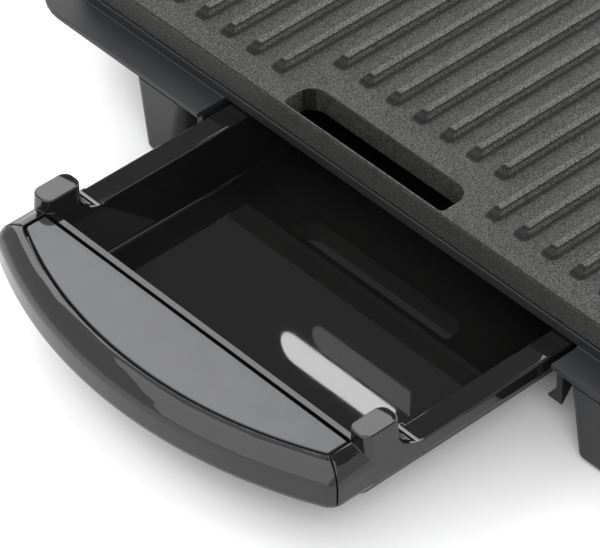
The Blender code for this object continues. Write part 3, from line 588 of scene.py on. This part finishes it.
def rib_lines():
    """Where a rib's mesh lines run, across it from its middle."""
    depths = (-0.6, -0.45, -0.2, 0.05, 0.3, 0.55, 0.9, 1.2, 1.35, 1.48, 1.6, 1.72, 1.85, 2.25)
    left = [depth - RIB_HALF for depth in depths]
    return left + [0.0] + [-x for x in reversed(left)]


def end_lines():
    """Where mesh lines run along a rib, from its base line inwards."""
    step = 0.32
    return [-1.2 + step * i for i in range(18)]


def add_rib(solid, x, start, end):
    """One rib as a patch of the plate's top, and the patch's outline."""
    across = rib_lines()
    along = [start + a for a in end_lines()]
    along += [start + (end - start) * f for f in (0.1, 0.3, 0.5, 0.7, 0.9)]
    along += [end - a for a in reversed(end_lines())]
    rows = []
    for y in along:
        row = []
        for u in across:
            height = rib_height(rib_depth(u, min(y - start, end - y)))
            row.append(solid.verts.new((x + u, y, PLATE_TOP + height)))
        rows.append(row)
    for low, high in zip(rows, rows[1:]):
        for i in range(len(across) - 1):
            solid.faces.new((low[i], low[i + 1], high[i + 1], high[i]))
    outline = [(x + u, along[0]) for u in across]
    outline += [(x + across[-1], y) for y in along[1:]]
    outline += [(x + u, along[-1]) for u in reversed(across[:-1])]
    outline += [(x + across[0], y) for y in reversed(along[1:-1])]
    return outline


def slot_outline(grow):
    """The drain slot, grown outwards: nearly square in front, round corners behind."""
    x0, x1 = SLOT_X - SLOT_HALF, SLOT_X + SLOT_HALF
    near, far = SLOT_FRONT_CORNER, SLOT_REAR_CORNER
    points = arc(x1 - near, SLOT_Y0 + near, near + grow, -90, 0, 6)
    points += arc(x1 - far, SLOT_Y1 - far, far + grow, 0, 90, 16)
    points += arc(x0 + far, SLOT_Y1 - far, far + grow, 90, 180, 16)
    points += arc(x0 + near, SLOT_Y0 + near, near + grow, 180, 270, 6)
    return points


def plate_outline(inset):
    """The plate's plan, drawn in by an inset."""
    half = PLATE_HALF - inset
    return rounded_rect(-half, half, inset, PLATE_LENGTH - inset, PLATE_CORNER - inset, 10)


def pocket_outline():
    """The hollow under the plate, which stops behind the drain slot."""
    half = PLATE_HALF - POCKET_RIM
    rear = PLATE_LENGTH - POCKET_RIM
    left = SLOT_X - SLOT_HALF - 4
    right = SLOT_X + SLOT_HALF + 4
    back = SLOT_Y1 + 4
    points = [(-half, POCKET_RIM), (left, POCKET_RIM), (left, back), (right, back)]
    return points + [(right, POCKET_RIM), (half, POCKET_RIM), (half, rear), (-half, rear)]


def add_bosses(solid):
    """Bored columns under the plate for its own screws and for the element's clamps."""
    columns = [(126, 28, 5, 2.0, 30.4), (126, PLATE_LENGTH - 28, 5, 2.0, 30.4),
               (104, PLATE_LENGTH / 2, 4, 1.5, 30.8), (93.5, 130, 3, 1.3, 34.6),
               (93.5, 270, 3, 1.3, 34.6)]
    for x, y, outer, inner, low in columns:
        for side in (-1, 1):
            rings = [at(circle(side * x, y, r, 24), z) for r, z in
                     ((inner, PLATE_UNDER - 0.8), (inner, low), (outer, low), (outer, PLATE_UNDER + 0.8))]
            add_loft(solid, rings)


def make_plate(finishes):
    """The cast plate: ribs, drain slot, eased edges and hollow underside."""
    solid = bmesh.new()
    outlines = []
    for i in range(RIB_COUNT):
        x = (i - (RIB_COUNT - 1) / 2) * RIB_PITCH
        behind_slot = abs(x - SLOT_X) < SLOT_RIBS * RIB_PITCH / 2
        start = SLOT_RIB_START if behind_slot else RIB_START
        outlines.append(add_rib(solid, x, start, PLATE_LENGTH - RIB_START))
    add_flat(solid, PLATE_TOP, plate_outline(PLATE_EASE), [slot_outline(SLOT_EASE)] + outlines)
    rim = [at(plate_outline(inset), PLATE_TOP - drop) for inset, drop in quarter(PLATE_EASE)]
    rim += [at(plate_outline(inset), PLATE_BOTTOM + drop) for inset, drop in reversed(quarter(0.5, 4))]
    hole = [at(slot_outline(inset), PLATE_TOP - drop) for inset, drop in quarter(SLOT_EASE)]
    hole += [at(slot_outline(inset), PLATE_BOTTOM + drop) for inset, drop in reversed(quarter(0.5, 4))]
    add_skin(solid, rim)
    add_skin(solid, hole)
    add_flat(solid, PLATE_BOTTOM, plate_outline(0.5), [slot_outline(0.5), pocket_outline()])
    add_skin(solid, [at(pocket_outline(), PLATE_BOTTOM), at(pocket_outline(), PLATE_UNDER)])
    add_flat(solid, PLATE_UNDER, pocket_outline())
    add_bosses(solid)
    plate = to_object(solid, "plate_casting", 40.0)
    settle(plate, "griddle", 'nonstick', finishes, "grill_plate")


# ---------------------------------------------------------------- drip tray

FLANGE_TOP = 29.4
FLANGE_HALF = 76.1
LIP_BOTTOM = 23.8
LIP_SKIN = 1.8
PAN_FLOOR = 11.3
PAN_BOTTOM = 9.0
PAN_HALF = 67.2
PAN_FRONT = -80.5
PAN_REAR = 48.0
PAN_DRAFT = 3.2
HANDLE_TOP = 37.0
HANDLE_BOTTOM = 21.4
HANDLE_HALF = 76.1
HANDLE_BACK = -80.6
HANDLE_CENTRE = 50.0
HANDLE_RADIUS = 165.4
HANDLE_ROLL = 7.0
HANDLE_UNDER_ROLL = 4.0
POST_TOP = 42.0
POST_SWEEP = 8.0
POST_REAR = -69.0
POST_FRONT = -83.4
POST_OUTER = 76.15
POST_INNER = 66.4
POST_LEAN = 1.35
POST_CORNER = 3.3
POST_FOOT = 28.0
INLAY_HALF = 67.3
INLAY_BACK = -83.9
INLAY_CENTRE = 45.1
INLAY_RADIUS = 152.1


def pan_ring(grow, z, radius):
    """A ring round the bowl, grown out from the cavity's top outline."""
    return at(rounded_rect(-PAN_HALF - grow, PAN_HALF + grow, PAN_FRONT - grow, PAN_REAR + grow,
                           radius, 10), z)


def tray_pan():
    """The drafted bowl with its flat rim and turned-down lip, as one closed skin."""
    fillet, ease = 1.4, 1.0
    wall_top = FLANGE_TOP - ease
    lip_mid = FLANGE_HALF - PAN_HALF - LIP_SKIN / 2
    rings = [pan_ring(-PAN_DRAFT - inset, PAN_FLOOR + drop, 3.0 + fillet - inset)
             for inset, drop in quarter(fillet, 8)[:-1]]
    rings += [pan_ring(0.0, wall_top, 5.0)]
    for i in range(1, 6):
        angle = math.radians(18 * i)
        rings.append(pan_ring(ease * (1 - math.cos(angle)), wall_top + ease * math.sin(angle), 5.0))
    for i in range(6):
        angle = math.radians(90 - 18 * i)
        grow = lip_mid + LIP_SKIN / 2 - ease + ease * math.cos(angle)
        rings.append(pan_ring(grow, wall_top + ease * math.sin(angle), 6.5))
    for i in range(9):
        angle = math.radians(-22.5 * i)
        grow = lip_mid + LIP_SKIN / 2 * math.cos(angle)
        rings.append(pan_ring(grow, LIP_BOTTOM + LIP_SKIN / 2 * (1 + math.sin(angle)), 6.0))
    under = FLANGE_TOP - 2.0
    rings += [pan_ring(lip_mid - LIP_SKIN / 2, under, 5.6), pan_ring(3.2, under, 5.4)]
    rings += [pan_ring(2.1, under - 1.0, 5.2)]
    rings += [pan_ring(2.3 - PAN_DRAFT - inset, PAN_BOTTOM + drop, 6.0 - inset)
              for inset, drop in reversed(quarter(ease, 4))]
    solid = bmesh.new()
    add_loft(solid, rings)
    return to_object(solid, "drip_tray_shell")


def handle_rings():
    """Heights and outlines of the bowed block that the handle is cut from."""
    rings = []
    low_centre = HANDLE_BOTTOM + HANDLE_UNDER_ROLL
    for i in range(9):
        angle = math.radians(-90 + 11.25 * i)
        inset = HANDLE_UNDER_ROLL * (1 - math.cos(angle))
        rings.append((inset, low_centre + HANDLE_UNDER_ROLL * math.sin(angle)))
    high_centre = HANDLE_TOP - HANDLE_ROLL
    for i in range(15):
        angle = math.radians(6 * i + 6)
        rings.append((HANDLE_ROLL * (1 - math.cos(angle)), high_centre + HANDLE_ROLL * math.sin(angle)))
    return [at(bowed(HANDLE_HALF - inset, HANDLE_BACK, HANDLE_CENTRE, HANDLE_RADIUS - inset, 3.5), z)
            for inset, z in rings]


def inlay_outline(grow, back):
    """The insert's plan, grown outwards, with its straight back at a given y."""
    return bowed(INLAY_HALF + grow, back, INLAY_CENTRE, INLAY_RADIUS + grow, 0.8)


def beyond_split(gap, y):
    """The plan area from the joint between bar and shoulders, moved forward by a gap, to y."""
    joint = [(60.0, -88.0), (67.7, -91.3), (72.0, -93.3), (75.5, -95.1), (90.0, -102.4)]
    right = [(x, v - gap) for x, v in joint]
    left = [(-x, v) for x, v in reversed(right)]
    return left + right + [(90.0, y), (-90.0, y)]


def shoulder_block():
    """The rear of the handle, which belongs to the tray, with the inlay's shelf."""
    block = loft("shoulders", handle_rings())
    combine(block, prism("bar_side", beyond_split(0.0, -130.0), 10, 50), 'DIFFERENCE')
    combine(block, prism("shelf_base", inlay_outline(0.9, -80.8), 24.0, 34.4), 'UNION')
    combine(block, prism("shelf", inlay_outline(-0.4, -80.8), 34.0, HANDLE_TOP - 1.6), 'UNION')
    pocket = prism("pocket", inlay_outline(1.0, INLAY_BACK + 1.0), HANDLE_TOP - 1.8, HANDLE_TOP + 2)
    combine(block, pocket, 'DIFFERENCE')
    grip = prism("grip", bowed(63.5, -85.0, 45.1, 149.0, 3.0), 15, HANDLE_TOP - 4)
    combine(block, grip, 'DIFFERENCE')
    return block


def mirrored(outline, side):
    """An outline as it is, or reflected to the left."""
    if side > 0:
        return outline
    return [(-x, y) for x, y in reversed(outline)]


def tray_post(side):
    """An upright at the front corner, whose back sweeps down onto the rim."""
    sweep_top = FLANGE_TOP - 0.07 + POST_SWEEP
    levels = [(24.0, 0.0), (27.9, 0.0), (POST_FOOT, 0.0)]
    for i in range(16):
        levels.append((sweep_top - POST_SWEEP * math.cos(math.radians(6.0 * i)), 0.0))
    levels += [(POST_TOP - drop, inset) for inset, drop in reversed(quarter(0.5, 4))]
    rings = []
    for z, inset in levels:
        drop = min(max(sweep_top - z, 0.0), POST_SWEEP)
        reach = POST_SWEEP - math.sqrt(POST_SWEEP ** 2 - drop ** 2)
        outer = POST_OUTER - POST_LEAN * max(z - POST_FOOT, 0.0) / (POST_TOP - POST_FOOT) - inset
        inner = 70.0 if z < POST_FOOT else POST_INNER + inset
        rear_corner = max(POST_CORNER - 0.6 * reach - inset, 0.3)
        front_corner = min(POST_CORNER - inset, 2.4 if z < POST_FOOT else 9.0)
        rear = POST_REAR + reach - inset
        front = POST_FRONT + inset
        outline = arc(outer - front_corner, front + front_corner, front_corner, -90, 0, 8)
        outline += arc(outer - rear_corner, rear - rear_corner, rear_corner, 0, 90, 8)
        outline += arc(inner + rear_corner, rear - rear_corner, rear_corner, 90, 180, 8)
        outline += arc(inner + front_corner, front + front_corner, front_corner, 180, 270, 8)
        rings.append(at(mirrored(outline, side), z))
    return loft("post", rings)


def make_tray(finishes):
    """Bowl, rim, front wall, shoulders and posts as one moulding."""
    tray = tray_pan()
    combine(tray, shoulder_block(), 'UNION')
    combine(tray, box("wall", -69.0, 69.0, -82.9, PAN_FRONT, 20.0, HANDLE_TOP), 'UNION')
    for side in (-1, 1):
        combine(tray, tray_post(side), 'UNION')
    soften(tray, 0.25, 2, 38.0)
    settle(tray, "tray", 'tray_plastic', finishes, "drip_tray")


def make_handle_front(finishes):
    """The glossy bar along the front, parted from the shoulders by a fine joint."""
    bar = loft("handle_bar", handle_rings())
    combine(bar, prism("tray_side", beyond_split(0.35, -60.0), 10, 50), 'DIFFERENCE')
    combine(bar, prism("inside", inlay_outline(1.0, -79.0), 10, 50), 'DIFFERENCE')
    soften(bar, 0.35, 3, 38.0)
    settle(bar, "tray", 'tray_plastic', finishes, "handle_front")


def make_inlay(finishes):
    """The grey insert in the handle, with eased edges."""
    rings = [at(inlay_outline(0.0, INLAY_BACK), HANDLE_TOP - 1.5)]
    rings += [at(inlay_outline(-inset, INLAY_BACK - inset), HANDLE_TOP - 0.1 - drop)
              for inset, drop in reversed(quarter(0.3, 4))]
    inlay = loft("handle_insert", rings)
    settle(inlay, "tray", 'inlay', finishes, "handle_inlay")


# ---------------------------------------------------------------- base

LEG_MIDDLE = 97.4
LEG_HALF = 11.8
LEG_DEPTH_HALF = 12.0
LEG_TOP = 27.7
LEG_BOTTOM = 1.0
LEG_TAPER = 4.2
LEG_FRONT = 0.0
LEG_REAR = 406.0


def make_leg(name, side, y, finishes):
    """A tapered leg with round corners and an eased sole, open above for its stub."""
    rings = []
    sole = [(LEG_BOTTOM + drop, 1.0, inset) for inset, drop in quarter(1.6, 5)]
    levels = sole + [(LEG_BOTTOM + 2.2, 0.97, 0.0), (LEG_TOP, 0.0, 0.0)]
    for z, share, inset in levels:
        taper = LEG_TAPER * share
        x = LEG_HALF - taper - inset
        front = -LEG_DEPTH_HALF + inset
        rear = LEG_DEPTH_HALF - taper - inset
        rings.append(at(rounded_rect(-x, x, front, rear, 3.8 - inset, 8), z))
    socket = [at(circle(0, 0, r, 36), z) for r, z in ((4.3, LEG_TOP), (4.3, 20.0), (1.9, 20.0), (1.9, 14.0),
                                                      (3.9, 14.0), (3.9, LEG_BOTTOM))]
    solid = bmesh.new()
    add_skin(solid, rings)
    add_skin(solid, socket)
    add_flat(solid, LEG_BOTTOM, [p[:2] for p in rings[0]], [circle(0, 0, 3.9, 36)])
    add_flat(solid, LEG_TOP, [p[:2] for p in rings[-1]], [circle(0, 0, 4.3, 36)])
    turn = -1 if y > PLATE_LENGTH / 2 else 1
    for vert in solid.verts:
        vert.co = Vector((side * LEG_MIDDLE + turn * vert.co.x, y + turn * vert.co.y, vert.co.z))
    leg = to_object(solid, name)
    settle(leg, "griddle", 'base_plastic', finishes, name.replace("stand", "leg"))


def make_base(finishes):
    """Rounded versions of the base, its cover, rails and control box, and the four legs."""
    for end, y in (("front", LEG_FRONT), ("rear", LEG_REAR)):
        for word, side in (("left", -1), ("right", 1)):
            make_leg(f"stand_{end}_{word}", side, y, finishes)
    softened = (
        ("housing", "base_shell", 'base_plastic', 0.35),
        ("bottom_cover", "base_cover", 'base_plastic', 0.25),
        ("guide_rail_left", "rail_left", 'black_nylon', 0.25),
        ("guide_rail_right", "rail_right", 'black_nylon', 0.25),
        ("control_box", "rear_box", 'base_plastic', 0.35),
        ("control_cover", "rear_cover", 'base_plastic', 0.30),
        ("inlet_socket", "inlet_body", 'black_nylon', 0.25),
    )
    for node, name, slot, width in softened:
        piece = softened_copy(node, name, width)
        settle(piece, "griddle", slot, finishes, node)


def make_knob(finishes):
    """The dial with rounded edges."""
    knob = softened_copy("control_knob", "dial", 0.35, 3)
    settle(knob, "knob", 'black_nylon', finishes, "control_knob")


# ---------------------------------------------------------------- studio

FLOOR_SHADE = (0.72, 0.72, 0.725)
FLOOR_REACH = 4.0
ROOM_RADIUS = 2.5
WORLD_STRENGTH = 1.1
BACK_STRENGTH = 3.9
CANOPY_STRENGTH = 2.6
SHADE_STRENGTH = 0.25
FILL_SIZE = 1.5
FILL_RIGHT_POWER = 45.0
FILL_LEFT_POWER = 42.0


def emitter(name, strength):
    """A plain white glowing material."""
    material = bpy.data.materials.new(name)
    material.use_nodes = True
    tree = material.node_tree
    tree.nodes.clear()
    light = tree.nodes.new('ShaderNodeEmission')
    light.inputs['Strength'].default_value = strength
    output = tree.nodes.new('ShaderNodeOutputMaterial')
    tree.links.new(light.outputs['Emission'], output.inputs['Surface'])
    return material


def make_floor():
    """The pale floor."""
    floor_material = Finish("studio_floor", 0.9)
    floor_material.colour(floor_material.noise(3, 2.0), *shades(FLOOR_SHADE, 0.006))
    mesh = bpy.data.meshes.new("floor")
    size = FLOOR_REACH
    mesh.from_pydata([(-size, -size, 0), (size, -size, 0), (size, size, 0), (-size, size, 0)],
                     [], [(0, 1, 2, 3)])
    mesh.materials.append(floor_material.material)
    floor = bpy.data.objects.new("floor", mesh)
    bpy.context.scene.collection.objects.link(floor)


def curved_panel(name, azimuths, elevations, strength, glossy_only=False):
    """A panel bent round the object, between two compass angles and two heights in degrees."""
    steps = 24
    verts, faces = [], []
    for i in range(steps + 1):
        azimuth = math.radians(azimuths[0] + (azimuths[1] - azimuths[0]) * i / steps)
        for elevation in elevations:
            height = ROOM_RADIUS * math.tan(math.radians(elevation))
            verts.append((ROOM_RADIUS * math.cos(azimuth), ROOM_RADIUS * math.sin(azimuth), height))
    for i in range(steps):
        faces.append((2 * i, 2 * i + 2, 2 * i + 3, 2 * i + 1))
    panel(name, verts, faces, strength, glossy_only)


def panel(name, verts, faces, strength, glossy_only):
    """A glowing panel kept out of the camera's sight, and if asked seen in reflections only."""
    mesh = bpy.data.meshes.new(name)
    mesh.from_pydata(verts, [], faces)
    mesh.materials.append(emitter(name, strength))
    made = bpy.data.objects.new(name, mesh)
    bpy.context.scene.collection.objects.link(made)
    made.visible_camera = False
    made.visible_shadow = not glossy_only
    made.visible_diffuse = not glossy_only
    made.visible_transmission = not glossy_only


def soft_light(name, spot, size, power):
    """A large square softbox aimed at the object, which adds no reflection of its own."""
    data = bpy.data.lights.new(name, 'AREA')
    data.shape = 'SQUARE'
    data.size = size
    data.energy = power
    light = bpy.data.objects.new(name, data)
    bpy.context.scene.collection.objects.link(light)
    light.location = Vector(spot)
    light.rotation_euler = (-Vector(spot)).to_track_quat('-Z', 'Y').to_euler()
    light.visible_glossy = False


def make_world(strength):
    """Even white light from all round."""
    world = bpy.data.worlds.new("studio")
    bpy.context.scene.world = world
    world.use_nodes = True
    sky = world.node_tree.nodes['Background']
    sky.inputs['Color'].default_value = (1.0, 1.0, 1.0, 1.0)
    sky.inputs['Strength'].default_value = strength


def upright_card(name, y, outline, strength):
    """A card in the plane at y, from an outline of (x, z), seen in reflections only."""
    panel(name, [place((x, y, z)) for x, z in outline], [tuple(range(len(outline)))], strength, True)


def make_flag():
    """The dark card over the plate that the tray mirrors, with a bright and a grey strip in it."""
    upright_card("flag", 170.0, rectangle(-430.0, -95.0, 180.0, 367.0), SHADE_STRENGTH)
    grey = arc(-214.0, 293.0, 6.5, 90, 270, 10) + [(-165.0, 286.5), (-165.0, 299.5)]
    upright_card("flag_grey", 169.0, grey, 1.3)
    bright = arc(-230.0, 307.5, 7.5, 90, 270, 10) + [(-172.0, 300.0), (-172.0, 315.0)]
    upright_card("flag_bright", 168.0, bright, 10.5)


def make_canopy():
    """A wide panel over the front, whose left edge shows as the step of light along the bar."""
    rim = [(172, 55), (224, 47), (244, 28), (250, 4), (300, 1), (350, 50), (80, 75)]
    verts = [toward(270, 50)] + [toward(*spot) for spot in rim]
    faces = [(0, i, i % len(rim) + 1) for i in range(1, len(rim) + 1)]
    panel("front_canopy", verts, faces, CANOPY_STRENGTH, True)


def toward(azimuth, elevation):
    """The spot at the room's radius in a compass direction and height, in degrees."""
    level = ROOM_RADIUS * math.cos(math.radians(elevation))
    height = ROOM_RADIUS * math.sin(math.radians(elevation))
    return (level * math.cos(math.radians(azimuth)), level * math.sin(math.radians(azimuth)), height)


def make_studio():
    """Floor, soft light, and the panels and cards that the glossy parts mirror."""
    make_floor()
    make_world(WORLD_STRENGTH)
    curved_panel("back_panel", (50, 172), (8, 49), BACK_STRENGTH)
    curved_panel("back_shade", (45, 140), (49, 80), SHADE_STRENGTH, True)
    make_canopy()
    soft_light("fill_right", (1.5, -1.5, 1.8), FILL_SIZE, FILL_RIGHT_POWER)
    soft_light("fill_left", (-1.8, -1.2, 1.8), FILL_SIZE, FILL_LEFT_POWER)
    make_flag()
    bpy.context.scene.view_settings.view_transform = 'Standard'


# ---------------------------------------------------------------- the whole scene

def main():
    make_camera()
    finishes = make_finishes()
    dress_cad_nodes(finishes)
    make_plate(finishes)
    make_tray(finishes)
    make_handle_front(finishes)
    make_inlay(finishes)
    make_base(finishes)
    make_knob(finishes)
    make_studio()


main()
